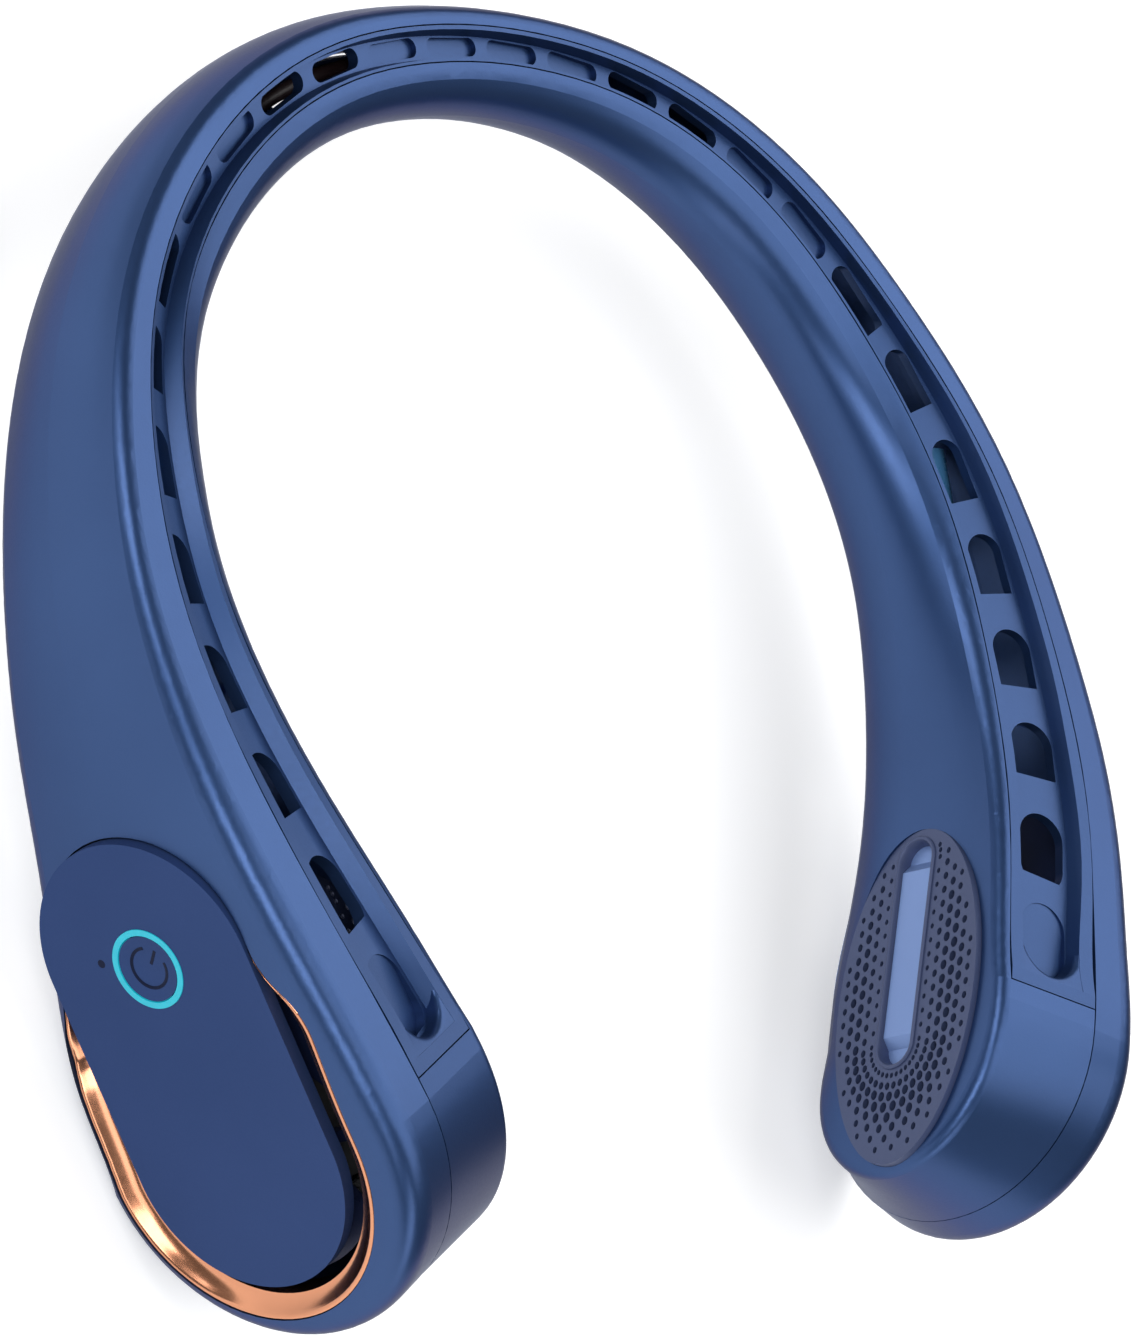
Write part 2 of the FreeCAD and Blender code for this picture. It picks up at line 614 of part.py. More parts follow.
# Guard: a plate with a spoked inlet over the impeller, and posts that carry the cover
guard_low = ring_low - size("guard_thick")
hub_at = Vector(0, guard_low, size("blower_rise"))
plate = oval_prism(size("guard_radius"), size("cover_radius") - 2.0, guard_low, ring_low)
plate = plate.cut(Part.makeCylinder(size("guard_inlet"), 9, hub_at - OUT, OUT))
guard_parts = [Part.makeCylinder(size("guard_hub"), size("guard_thick"), hub_at, OUT)]
for index in range(int(size("guard_spokes"))):
    spoke = Part.makeBox(size("guard_inlet"), size("guard_thick"), size("spoke_width"),
                         hub_at + Vector(1.0, 0, -size("spoke_width") / 2))
    spoke.rotate(hub_at, OUT, 360 * (index + 0.5) / size("guard_spokes"))
    guard_parts.append(spoke)
lobe_x = -size("lobe_distance")
posts = [(0.0, size("blower_rise")), (lobe_x - 14.4, 0.0), (lobe_x + 8.0, 13.0), (lobe_x + 8.0, -13.0),
         (14.4, -1.0), (5.0, -13.8)]
for x, z in posts:
    post = Part.makeCylinder(size("post_radius"), cover_low - guard_low, Vector(x, guard_low, z), OUT)
    guard_parts.append(post)
pair(feature("guard_form", plate.fuse(guard_parts), POD), "intake_guard")

# Perforated grille with its oblong trough
grille_form = grille_plate(snug, 0.0, size("grille_thick"))


def trough(radius, low, high):
    length = size("trough_length") + 2 * (radius - size("trough_radius"))
    form = long_hole(length, 2 * radius).extrude(UP * (high - low))
    form.rotate(Vector(), Vector(1, 0, 0), -90)
    form.translate(Vector(-size("trough_back"), low, -0.9))
    form.Placement = GRILLE * form.Placement
    return form


trough_floor = size("trough_depth") + size("trough_wall")
grille_form = grille_form.fuse(trough(size("trough_radius") + size("trough_wall"), 0.2, trough_floor))
grille_form = grille_form.cut(trough(size("trough_radius"), -1.0, size("trough_depth")))
pair(feature("grille_form", grille_form, POD), "inner_grille")

# Blower scroll: spiral wall round the impeller that opens into a duct toward the arm
scroll_floor = size("scroll_floor")
floor_high = scroll_floor + size("floor_thick")
TONGUE_ANGLE = 125.0
SPIRAL_STEPS = 18


# Room of the scroll grown by a wall: a spiral from the tongue to the top, and the duct
def scroll_room(grow, low, high, past):
    points = []
    for index in range(SPIRAL_STEPS + 1):
        turn = index / SPIRAL_STEPS
        radius = size("scroll_start") + (size("scroll_end") - size("scroll_start")) * turn + grow
        angle = math.radians(TONGUE_ANGLE + (450.0 - TONGUE_ANGLE) * turn)
        points.append(Vector(radius * math.cos(angle), low, radius * math.sin(angle)))
    curve = Part.BSplineCurve()
    curve.interpolate(points)
    room = face([curve.toShape(), line(points[-1], points[0])]).extrude(OUT * (high - low))
    tongue = size("scroll_start") * math.sin(math.radians(TONGUE_ANGLE)) - grow
    duct = Part.makeBox(size("duct_length") + past, high - low, size("scroll_end") + grow - tongue,
                        Vector(-size("duct_length") - past, low, tongue))
    return room.fuse(duct)


bowl = scroll_room(size("scroll_wall"), scroll_floor, guard_low, 0.0)
bowl = bowl.cut(scroll_room(0.0, floor_high, guard_low + 1.0, 1.0))
bowl = bowl.cut(ring_of(size("floor_inlet"), size("floor_hub"), scroll_floor - 1, floor_high + 0.01))
scroll_parts = []
for index in range(4):
    spoke = Part.makeBox(size("floor_inlet") - size("floor_hub") + 2, size("floor_thick"), 2.0,
                         Vector(size("floor_hub") - 1, scroll_floor, -1.0))
    spoke.rotate(Vector(), OUT, 45 + 90 * index)
    scroll_parts.append(spoke)
scroll_form = bowl.fuse(scroll_parts)
screw_spots = [(size("screw_circle") * math.cos(math.radians(90 + 120 * k)),
                size("screw_circle") * math.sin(math.radians(90 + 120 * k))) for k in range(3)]
for x, z in screw_spots:
    hole = Part.makeCylinder(size("screw_radius"), 9, Vector(x, scroll_floor - 1, z), OUT)
    scroll_form = scroll_form.cut(hole)
pair(feature("scroll_form", scroll_form, BLOWER), "fan_scroll")

# Motor: base with a boss for the bearing, stator core with its poles, and the bearing
base = bar("base_disc", "sizes.floor_hub", "sizes.scroll_floor + sizes.floor_thick",
           "sizes.scroll_floor + sizes.floor_thick + sizes.base_thick", base=BLOWER)
boss = bar("base_boss", "sizes.stator_bore", "sizes.scroll_floor + sizes.floor_thick", "sizes.boss_top",
           base=BLOWER)
bore = bar("base_bore", "sizes.bearing_radius", "sizes.scroll_floor + sizes.floor_thick + sizes.base_thick",
           "sizes.boss_top + 1", base=BLOWER)
holes = [bar(f"base_screw_hole_{k}", "sizes.screw_radius", "sizes.scroll_floor", "sizes.boss_top",
             x, z, BLOWER) for k, (x, z) in enumerate(screw_spots)]
base_body = joined("base_body", [base, boss])
pair(less("motor_base_form", base_body, joined("base_holes", [bore] + holes)), "motor_base")
bearing_body = bar("bearing_body", "sizes.bearing_radius",
                   "sizes.scroll_floor + sizes.floor_thick + sizes.base_thick", "sizes.boss_top", base=BLOWER)
bearing_bore = bar("bearing_bore", "sizes.shaft_radius + sizes.shaft_play", "sizes.scroll_floor",
                   "sizes.boss_top + 1", base=BLOWER)
pair(less("bearing_form", bearing_body, bearing_bore), "bearing")
stator_low, stator_high = size("stator_low"), size("stator_high")
stator_parts = []
for index in range(int(size("pole_count"))):
    reach = size("stator_radius") - size("stator_bore") - 0.4
    pole = Part.makeBox(reach, stator_high - stator_low, size("pole_width"),
                        Vector(size("stator_bore") + 0.4, stator_low, -size("pole_width") / 2))
    pole.rotate(Vector(), OUT, 360 * index / size("pole_count"))
    stator_parts.append(pole)
core = ring_of(size("stator_bore") + 1.6, size("stator_bore") + snug, stator_low, stator_high)
pair(feature("stator_form", core.fuse(stator_parts), BLOWER), "stator")

# Rotor: shaft, magnet ring, and the impeller moulded round its cup
shaft = bar("shaft_bar", "sizes.shaft_radius", "sizes.shaft_low", "sizes.hub_top", base=BLOWER)
pair(shaft, "shaft")
cup_inner = size("hub_radius") - size("hub_wall")
magnet_out = bar("magnet_outside", "sizes.hub_radius - sizes.hub_wall - sizes.snug", "sizes.stator_low",
                 "sizes.stator_high", base=BLOWER)
magnet_in = bar("magnet_inside", "sizes.hub_radius - sizes.hub_wall - sizes.magnet_wall",
                "sizes.stator_low - 1", "sizes.stator_high + 1", base=BLOWER)
pair(less("magnet_form", magnet_out, magnet_in), "magnet_ring")
low, high = size("impeller_low"), size("impeller_high")
cup = Part.makeCylinder(size("hub_radius"), size("hub_top") - low, Vector(0, low, 0), OUT)
cup = cup.cut(Part.makeCylinder(cup_inner, size("hub_top") - low - 1.0, Vector(0, low, 0), OUT))
cup = cup.cut(Part.makeCylinder(size("shaft_radius"), 30, Vector(0, low, 0), OUT))
disc = ring_of(size("impeller_radius"), size("hub_radius") - 0.3, low, low + size("disc_thick"))
shroud = ring_of(size("impeller_radius"), size("impeller_radius") - size("impeller_rim"), high - 0.8, high)


def blade_points(offset):
    inner, outer = size("blade_inner"), size("impeller_radius") - 0.1
    spots = []
    for share in (0.0, 0.5, 1.0):
        radius = inner + (outer - inner) * share
        angle = math.radians(size("blade_turn")) * share * share + offset / radius
        spots.append(Vector(radius * math.cos(angle), low, radius * math.sin(angle)))
    return spots


a, b = blade_points(0.0), blade_points(size("blade_thick"))
blade = face([arc(*a), line(a[2], b[2]), arc(*b), line(b[0], a[0])]).extrude(OUT * (high - low))
blades = []
for index in range(int(size("blade_count"))):
    turned = blade.copy()
    turned.rotate(Vector(), OUT, 360 * index / size("blade_count"))
    blades.append(turned)
pair(feature("impeller_form", disc.fuse([cup, shroud] + blades), BLOWER), "impeller")

# Motor screws, from below through the scroll floor into the base
screws = []
head_low = size("scroll_floor") - size("head_height")
for x, z in screw_spots:
    head = Part.makeCylinder(size("screw_head"), size("head_height"), Vector(x, head_low, z), OUT)
    shank = Part.makeCylinder(size("screw_radius"), size("screw_length"), Vector(x, scroll_floor, z), OUT)
    screws.append(head.fuse(shank))
screw_group = [in_pod(screw, BLOWER) for screw in screws]
screw_group += [screw.mirror(Vector(), Vector(1, 0, 0)) for screw in screw_group]
node(feature("motor_screw_group", Part.makeCompound(screw_group)), "motor_screws")

# Controls: board on standoffs, switch, button, light ring, indicator and charging socket
board = Part.makeCylinder(size("board_radius"), size("board_thick"), Vector(lobe_x, board_low, 0), OUT)
for x, z in posts:
    board = board.cut(Part.makeCylinder(size("post_radius") + 0.3, 9, Vector(x, board_low - 1, z), OUT))
socket_foot = Vector(size("socket_along") - size("socket_width") / 2, socket_low, socket_foot_z)
notch = Part.makeBox(size("socket_width") + 2 * snug, 9, size("socket_length") + snug,
                     socket_foot - Vector(snug, 1, 0))
board = board.cut(notch)
node(mirrored("board_copy", feature("board_form", board, POD)), "control_board")
switch = block("switch_block", "sizes.switch_size", "sizes.switch_height", "sizes.switch_size",
               Vector(button_at[0], board_high, button_at[1]) - Vector(1, 0, 1) * (size("switch_size") / 2))
node(mirrored("switch_copy", switch), "button_switch")
flange_low = board_high + size("switch_height") + size("button_travel") + 0.3
button_foot = Vector(button_at[0], flange_low, button_at[1])
cap = Part.makeCylinder(size("button_radius"), face_at - flange_low, button_foot, OUT)
flange = Part.makeCylinder(size("button_flange"), size("flange_thick"), button_foot, OUT)
dish_radius = (size("button_radius") ** 2 + size("button_dish") ** 2) / (2 * size("button_dish"))
dish_at = Vector(button_at[0], face_at - size("button_dish") + dish_radius, button_at[1])
dish = Part.makeSphere(dish_radius, dish_at)
button_form = cap.fuse(flange).cut(dish)
node(mirrored("button_copy", feature("button_form", button_form, POD)), "power_button")
light_low = face_at + size("light_proud") - size("light_depth")
light_form = ring_of(light_outer - snug, light_inner, light_low, face_at + size("light_proud"), *button_at)
node(mirrored("light_copy", feature("light_form", light_form, POD)), "button_light_ring")
pipe_foot = Vector(size("pipe_along"), board_high, size("pipe_rise"))
pipe = Part.makeCylinder(size("pipe_radius"), face_at - board_high, pipe_foot, OUT)
node(mirrored("pipe_copy", feature("pipe_form", pipe, POD)), "indicator_pipe")
socket_body = Part.makeBox(size("socket_width"), size("socket_thick"), size("socket_length"), socket_foot)
mouth_box = Part.makeBox(size("socket_width") - 0.8, size("socket_thick") - 0.8, size("socket_length") - 1.0,
                         socket_foot + Vector(0.4, 0.4, -0.01))
socket_form = socket_body.cut(mouth_box)
node(mirrored("socket_copy", feature("socket_form", socket_form, POD)), "charging_socket")

# Cells in the arms, and the wires between the pods through the neck
cell_spine = spine(size("cell_at"))
cell_turn = Rotation(UP, cell_spine[1])
cell = doc.addObject("Part::Cylinder", "right_cell")
bind(cell, {"Radius": "sizes.cell_radius", "Height": "sizes.cell_length"})
cell_middle = spot(size("cell_at"), size("cell_out"), 0)
cell.Placement = Placement(cell_middle - cell_spine[1] * size("cell_length") / 2, cell_turn)
pair(cell, "battery")
wire_path = []
wire_stops = [-size("wire_end"), -60.0, -20.0, 20.0, 60.0, size("wire_end")]
for start, end in zip(wire_stops, wire_stops[1:]):
    stops = [spine(place)[0] - UP * size("wire_drop") for place in (start, (start + end) / 2, end)]
    wire_path.append(arc(*stops))
first = spine(-size("wire_end"))
ring = Part.Wire(Part.makeCircle(size("wire_radius"), first[0] - UP * size("wire_drop"), first[1]))
cable = Part.Wire(wire_path).makePipeShell([ring], True, True)
node(feature("cable_form", cable), "neck_cable")

doc.recompute()
os.makedirs("parts", exist_ok=True)
for thing in doc.Objects:
    if "Invalid" in thing.State or "Error" in thing.State:
        raise RuntimeError(f"{thing.Name} did not recompute")
for thing in nodes:
    shape = thing.Shape
    if shape.isNull() or not shape.isValid() or not shape.Solids:
        raise RuntimeError(f"{thing.Label} has no valid solid")
    shape.exportStep(f"parts/{thing.Label}.step")
    print(thing.Label, len(shape.Solids), round(shape.Volume, 1))
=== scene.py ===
import bmesh
import bpy
import math
from mathutils import Matrix, Vector
from mathutils.bvhtree import BVHTree


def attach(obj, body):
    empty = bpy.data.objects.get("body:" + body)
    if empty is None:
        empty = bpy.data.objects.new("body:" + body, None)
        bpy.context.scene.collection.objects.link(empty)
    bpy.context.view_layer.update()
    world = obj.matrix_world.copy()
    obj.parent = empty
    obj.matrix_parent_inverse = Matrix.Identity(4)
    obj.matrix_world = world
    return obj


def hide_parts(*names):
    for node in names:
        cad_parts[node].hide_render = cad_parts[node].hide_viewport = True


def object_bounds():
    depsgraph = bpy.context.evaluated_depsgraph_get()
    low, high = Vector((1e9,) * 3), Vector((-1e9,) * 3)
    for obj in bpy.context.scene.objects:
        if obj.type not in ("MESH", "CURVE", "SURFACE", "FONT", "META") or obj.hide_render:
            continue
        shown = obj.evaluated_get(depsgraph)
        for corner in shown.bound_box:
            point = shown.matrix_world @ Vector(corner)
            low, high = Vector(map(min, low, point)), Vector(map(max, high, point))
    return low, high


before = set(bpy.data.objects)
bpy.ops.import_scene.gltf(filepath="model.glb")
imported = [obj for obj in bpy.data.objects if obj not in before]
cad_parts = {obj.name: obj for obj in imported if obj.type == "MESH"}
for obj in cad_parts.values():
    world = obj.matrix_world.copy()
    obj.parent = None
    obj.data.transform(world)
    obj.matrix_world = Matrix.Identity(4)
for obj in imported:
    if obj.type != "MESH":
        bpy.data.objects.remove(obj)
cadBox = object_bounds()
scene = bpy.context.scene
millimetre = 0.001  # pieces are drawn in millimetres, the scene is in metres
bothPods = ((1, "right"), (-1, "left"))
print("frame loaded:", len(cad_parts), "nodes")

# camera at the photograph's angle
view = {"azimuth": -80.08, "elevation": 40.21, "roll": 73.38, "distance": 0.813,
        "lens": 160.36, "sensor": 36, "target": (-0.01894, -0.08394, 0.01624)}


def makeCamera():
    az, el, roll = (math.radians(view[key]) for key in ("azimuth", "elevation", "roll"))
    back = Vector((math.sin(az) * math.cos(el), -math.cos(az) * math.cos(el), math.sin(el)))
    right = Vector((math.cos(az), math.sin(az), 0))
    up = back.cross(right)
    imageX = right * math.cos(roll) + up * math.sin(roll)
    imageY = up * math.cos(roll) - right * math.sin(roll)
    cam = bpy.data.cameras.new("camera")
    cam.sensor_fit = "VERTICAL"
    cam.sensor_height = view["sensor"]
    cam.lens = view["lens"]
    obj = bpy.data.objects.new("camera", cam)
    turn = Matrix((imageX, imageY, back)).transposed().to_4x4()
    obj.matrix_world = Matrix.Translation(Vector(view["target"]) + back * view["distance"]) @ turn
    scene.collection.objects.link(obj)
    scene.camera = obj


makeCamera()
print("camera placed")

# grain that all finishes share: broad changes of tone, fine changes of gloss and height
grain = {"broadScale": 35.0, "broadDetail": 3.0, "fineRough": 0.6, "noiseSpan": (0.3, 0.7),
         "bumpStrength": 0.25, "coatRough": 0.3}


def newMaterial(name):
    mat = bpy.data.materials.new(name)
    mat.use_nodes = True
    tree = mat.node_tree
    tree.nodes.clear()
    out = tree.nodes.new("ShaderNodeOutputMaterial")
    shader = tree.nodes.new("ShaderNodeBsdfPrincipled")
    tree.links.new(shader.outputs[0], out.inputs[0])
    return mat, tree, shader


def noiseOn(tree, scale, detail=2.0, rough=0.5):
    coord = tree.nodes.new("ShaderNodeTexCoord")
    noise = tree.nodes.new("ShaderNodeTexNoise")
    noise.inputs["Scale"].default_value = scale
    noise.inputs["Detail"].default_value = detail
    noise.inputs["Roughness"].default_value = rough
    tree.links.new(coord.outputs["Object"], noise.inputs["Vector"])
    return noise.outputs[0]


def spread(tree, source, low, high):
    node = tree.nodes.new("ShaderNodeMapRange")
    node.inputs["To Min"].default_value = low
    node.inputs["To Max"].default_value = high
    node.inputs["From Min"].default_value = grain["noiseSpan"][0]
    node.inputs["From Max"].default_value = grain["noiseSpan"][1]
    tree.links.new(source, node.inputs["Value"])
    return node.outputs[0]


def twoTone(tree, source, first, second):
    ramp = tree.nodes.new("ShaderNodeValToRGB")
    for element, place, colour in zip(ramp.color_ramp.elements, grain["noiseSpan"], (first, second)):
        element.position = place
        element.color = (*colour, 1)
    tree.links.new(source, ramp.inputs[0])
    return ramp.outputs[0]


def bumpOn(tree, shader, height, distance):
    bump = tree.nodes.new("ShaderNodeBump")
    bump.inputs["Strength"].default_value = grain["bumpStrength"]
    bump.inputs["Distance"].default_value = distance
    tree.links.new(height, bump.inputs["Height"])
    tree.links.new(bump.outputs[0], shader.inputs["Normal"])


# one dictionary for each finish: two close tones, gloss and grain, and its coat and edge tint if it has them
finishes = {
    "satinBlue": {"tones": ((0.026, 0.062, 0.172), (0.030, 0.070, 0.190)), "metal": 0.85,
                  "rough": (0.34, 0.40), "grain": 2600, "depth": 0.00005, "coat": 0.35,
                  "edge": (0.06, 0.10, 0.22)},
    "coverBlue": {"tones": ((0.026, 0.052, 0.150), (0.030, 0.058, 0.165)), "metal": 0.5,
                  "rough": (0.44, 0.52), "grain": 3200, "depth": 0.00005, "edge": (0.2, 0.25, 0.4)},
    "stripBlue": {"tones": ((0.026, 0.060, 0.162), (0.030, 0.067, 0.180)), "metal": 0.8,
                  "rough": (0.38, 0.46), "grain": 3000, "depth": 0.00005, "coat": 0.3,
                  "edge": (0.06, 0.10, 0.22)},
    "grilleBlue": {"tones": ((0.044, 0.062, 0.140), (0.050, 0.070, 0.155)), "metal": 0.3,
                   "rough": (0.45, 0.52), "grain": 3200, "depth": 0.00004},
    # painted light: a lighter copy of the grille's blue for the trough's floor and bar, standing in for
    # light falling on them
    "troughBlue": {"tones": ((0.160, 0.250, 0.500), (0.175, 0.270, 0.530)), "metal": 0.4,
                   "rough": (0.38, 0.45), "grain": 3000, "depth": 0.00004},
    "recessNavy": {"tones": ((0.010, 0.018, 0.060), (0.013, 0.022, 0.072)), "metal": 0.2,
                   "rough": (0.35, 0.45), "grain": 2400, "depth": 0.00004},
    "symbolNavy": {"tones": ((0.004, 0.007, 0.024), (0.006, 0.010, 0.030)), "metal": 0.1,
                   "rough": (0.45, 0.55), "grain": 2500, "depth": 0.00002, "edge": (0.05, 0.08, 0.2)},
    "copperTrim": {"tones": ((0.62, 0.27, 0.15), (0.68, 0.31, 0.18)), "metal": 1.0,
                   "rough": (0.17, 0.21), "grain": 900, "depth": 0.00001},
    "ductBlack": {"tones": ((0.006, 0.007, 0.010), (0.010, 0.011, 0.015)), "metal": 0.0,
                  "rough": (0.55, 0.7), "grain": 1800, "depth": 0.00005},
    "impellerGrey": {"tones": ((0.10, 0.11, 0.12), (0.13, 0.14, 0.15)), "metal": 0.0,
                     "rough": (0.45, 0.55), "grain": 1500, "depth": 0.00003},
    "brightSteel": {"tones": ((0.55, 0.56, 0.58), (0.62, 0.63, 0.65)), "metal": 1.0,
                    "rough": (0.25, 0.32), "grain": 1200, "depth": 0.00002},
    "bearingBronze": {"tones": ((0.45, 0.30, 0.12), (0.52, 0.35, 0.15)), "metal": 1.0,
                      "rough": (0.4, 0.5), "grain": 2500, "depth": 0.00003},
    "windingCopper": {"tones": ((0.34, 0.16, 0.07), (0.42, 0.21, 0.09)), "metal": 0.8,
                      "rough": (0.35, 0.5), "grain": 1600, "depth": 0.00008, "coat": 0.2},
    "magnetDark": {"tones": ((0.03, 0.03, 0.035), (0.045, 0.045, 0.05)), "metal": 0.4,
                   "rough": (0.5, 0.6), "grain": 2000, "depth": 0.00003},
    "boardGreen": {"tones": ((0.010, 0.075, 0.035), (0.014, 0.095, 0.045)), "metal": 0.0,
                   "rough": (0.35, 0.45), "grain": 1400, "depth": 0.00003, "coat": 0.3},
    "cellWrap": {"tones": ((0.04, 0.14, 0.30), (0.05, 0.17, 0.34)), "metal": 0.0,
                 "rough": (0.25, 0.35), "grain": 500, "depth": 0.00002, "coat": 0.4},
    "wireDark": {"tones": ((0.012, 0.006, 0.007), (0.018, 0.008, 0.009)), "metal": 0.0,
                 "rough": (0.45, 0.55), "grain": 1200, "depth": 0.00003},
}


def makeFinish(name):
    look = finishes[name]
    mat, tree, shader = newMaterial(name)
    broad = noiseOn(tree, grain["broadScale"], grain["broadDetail"])
    fine = noiseOn(tree, look["grain"], rough=grain["fineRough"])
    tree.links.new(twoTone(tree, broad, *look["tones"]), shader.inputs["Base Color"])
    tree.links.new(spread(tree, fine, *look["rough"]), shader.inputs["Roughness"])
    shader.inputs["Metallic"].default_value = look["metal"]
    shader.inputs["Coat Weight"].default_value = look.get("coat", 0.0)
    shader.inputs["Coat Roughness"].default_value = grain["coatRough"]
    shader.inputs["Specular Tint"].default_value = (*look.get("edge", (1, 1, 1)), 1)
    bumpOn(tree, shader, fine, look["depth"])
    return mat


# lit ring round the button
glow = {"tones": ((0.006, 0.28, 0.36), (0.0069, 0.322, 0.414)), "strength": 0.7, "grain": 900, "rough": 0.3}


def makeGlow(name):
    mat, tree, shader = newMaterial(name)
    fine = noiseOn(tree, glow["grain"])
    tree.links.new(twoTone(tree, fine, *glow["tones"]), shader.inputs["Base Color"])
    shader.inputs["Roughness"].default_value = glow["rough"]
    shader.inputs["Emission Color"].default_value = (*glow["tones"][0], 1)
    shader.inputs["Emission Strength"].default_value = glow["strength"]
    return mat


looks = {name: makeFinish(name) for name in finishes}
looks["lightTeal"] = makeGlow("lightTeal")

# finish of each node, the same on the left and on the right
nodeLooks = {"outer_shell": "satinBlue", "inner_shell": "satinBlue", "top_outlet_strip": "stripBlue",
             "bottom_outlet_strip": "stripBlue", "intake_cover": "coverBlue", "trim_ring": "copperTrim",
             "inner_grille": "grilleBlue", "intake_guard": "recessNavy", "fan_scroll": "ductBlack",
             "motor_base": "ductBlack", "bearing": "bearingBronze", "stator": "windingCopper",
             "magnet_ring": "magnetDark", "shaft": "brightSteel", "impeller": "impellerGrey",
             "battery": "cellWrap", "power_button": "coverBlue", "button_light_ring": "lightTeal",
             "indicator_pipe": "symbolNavy", "control_board": "boardGreen", "button_switch": "ductBlack",
             "charging_socket": "brightSteel", "neck_cable": "wireDark", "motor_screws": "brightSteel"}

for nodeName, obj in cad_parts.items():
    plainName = nodeName.replace("left_", "").replace("right_", "")
    obj.data.materials.clear()
    obj.data.materials.append(looks[nodeLooks[plainName]])
print("finishes set")

# pods: a frame in the middle of each pod, x forward, y outward, z up, and the grille's plane in it
pod = {"centre": (63.33536, -138.0477, -2.2), "heading": -112.8, "pitch": 3.0,
       "grilleAt": (-3.5, -9.1, 6.3), "grilleTilt": 3.0}


def turned(angle, axis):
    return Matrix.Rotation(math.radians(angle), 4, axis)


def podMatrix(side, onGrille=False):
    turn = turned(pod["heading"], "Z") @ turned(pod["pitch"], "Y")
    place = Matrix.Translation(Vector(pod["centre"])) @ turn
    if onGrille:
        place = place @ Matrix.Translation(Vector(pod["grilleAt"]))
        place = place @ turned(pod["grilleTilt"], "X") @ turned(90, "X")
    return Matrix.Diagonal((millimetre * side, millimetre, millimetre, 1)) @ place


# how every added piece is finished: doubles closer than this merge, edges sharper than this stay sharp
finishing = {"mergeGap": 1e-7, "sharpAngle": 32}


def finishPiece(name, mesh, place, body, nodes=(), angle=finishing["sharpAngle"]):
    mesh.transform(place)
    bm = bmesh.new()
    bm.from_mesh(mesh)
    bmesh.ops.remove_doubles(bm, verts=bm.verts, dist=finishing["mergeGap"])
    bmesh.ops.recalc_face_normals(bm, faces=bm.faces)
    bm.to_mesh(mesh)
    bm.free()
    mesh.shade_smooth()
    mesh.set_sharp_from_angle(angle=math.radians(angle))
    piece = bpy.data.objects.new(name, mesh)
    scene.collection.objects.link(piece)
    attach(piece, body)
    if nodes:
        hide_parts(*nodes)


def pieceMesh(name, bm, finish):
    mesh = bpy.data.meshes.new(name)
    bm.to_mesh(mesh)
    bm.free()
    mesh.materials.append(looks[finish])
    return mesh


def joinRows(bm, rows, closed=True, finish=0):
    count = len(rows[0])
    for first, second in zip(rows, rows[1:]):
        for i in range(count if closed else count - 1):
            j = (i + 1) % count
            bm.faces.new((first[i], first[j], second[j], second[i])).material_index = finish


def capEnds(bm, rows):
    bm.faces.new(rows[0])
    bm.faces.new(rows[-1])


# direction of a line at one of its points, from the points beside it
def runAt(points, i):
    before, after = points[max(i - 1, 0)], points[min(i + 1, len(points) - 1)]
    return Vector((after[0] - before[0], after[1] - before[1])).normalized()


# geometry node helpers: one call makes a node, sets it and joins its inputs
def geoNode(tree, kind, inputs=None, **settings):
    made = tree.nodes.new(kind)
    for key, value in settings.items():
        setattr(made, key, value)
    for key, value in (inputs or {}).items():
        if isinstance(value, bpy.types.NodeSocket):
            tree.links.new(value, made.inputs[key])
        else:
            made.inputs[key].default_value = value
    return made.outputs


def geoMath(tree, operation, first, second=0.0):
    return geoNode(tree, "ShaderNodeMath", {0: first, 1: second}, operation=operation)[0]


def geoVector(tree, x, y=0.0, z=0.0):
    return geoNode(tree, "ShaderNodeCombineXYZ", {0: x, 1: y, 2: z})[0]


def geoJoin(tree, pieces):
    joined = tree.nodes.new("GeometryNodeJoinGeometry")
    for piece in pieces:
        tree.links.new(piece, joined.inputs[0])
    return joined.outputs[0]


def startTree(name, sizes):
    tree = bpy.data.node_groups.new(name, "GeometryNodeTree")
    for label, value in sizes.items():
        kind = "NodeSocketInt" if isinstance(value, int) else "NodeSocketFloat"
        tree.interface.new_socket(label, in_out="INPUT", socket_type=kind)
    tree.interface.new_socket("finish", in_out="INPUT", socket_type="NodeSocketMaterial")
    tree.interface.new_socket("Geometry", in_out="OUTPUT", socket_type="NodeSocketGeometry")
    return tree, tree.nodes.new("NodeGroupInput").outputs


def meshFromTree(tree, sizes, finish):
    holder = bpy.data.objects.new(tree.name, bpy.data.meshes.new(tree.name))
    scene.collection.objects.link(holder)
    modifier = holder.modifiers.new(tree.name, "NODES")
    modifier.node_group = tree
    values = dict(sizes, finish=finish)
    for item in tree.interface.items_tree:
        if item.in_out == "INPUT":
            modifier[item.identifier] = values[item.name]
    graph = bpy.context.evaluated_depsgraph_get()
    mesh = bpy.data.meshes.new_from_object(holder.evaluated_get(graph))
    bpy.data.objects.remove(holder)
    return mesh


# inner grilles: oval plate, its holes in rows round the trough, smaller beside the trough and near the rim
grille = {"halfLength": 26.15, "halfHeight": 13.55, "thick": 1.5, "rimSides": 128,
          "holes": 116, "rows": 11, "firstRow": 4.75, "rowPitch": 1.62, "middleRow": 11.0, "rowCorners": 32,
          "smallHole": 0.3, "largeHole": 0.64, "stretch": 1.3, "holeSides": 12,
          "rimShare": 0.94, "rimFade": 0.28, "troughLead": 0.4, "troughRise": 4.2,
          "troughHalf": 14.5, "troughBack": 6.9, "troughDrop": 0.9, "openRadius": 3.5, "openCorners": 8}


def oblong(tree, half, radius, corners):
    width = geoMath(tree, "MULTIPLY", geoMath(tree, "ADD", half, radius), 2.0)
    box = geoNode(tree, "GeometryNodeCurvePrimitiveQuadrilateral",
                  {"Width": width, "Height": geoMath(tree, "MULTIPLY", radius, 2.0)})
    return geoNode(tree, "GeometryNodeFilletCurve", {"Curve": box[0], "Count": corners, "Radius": radius},
                   mode="POLY")[0]


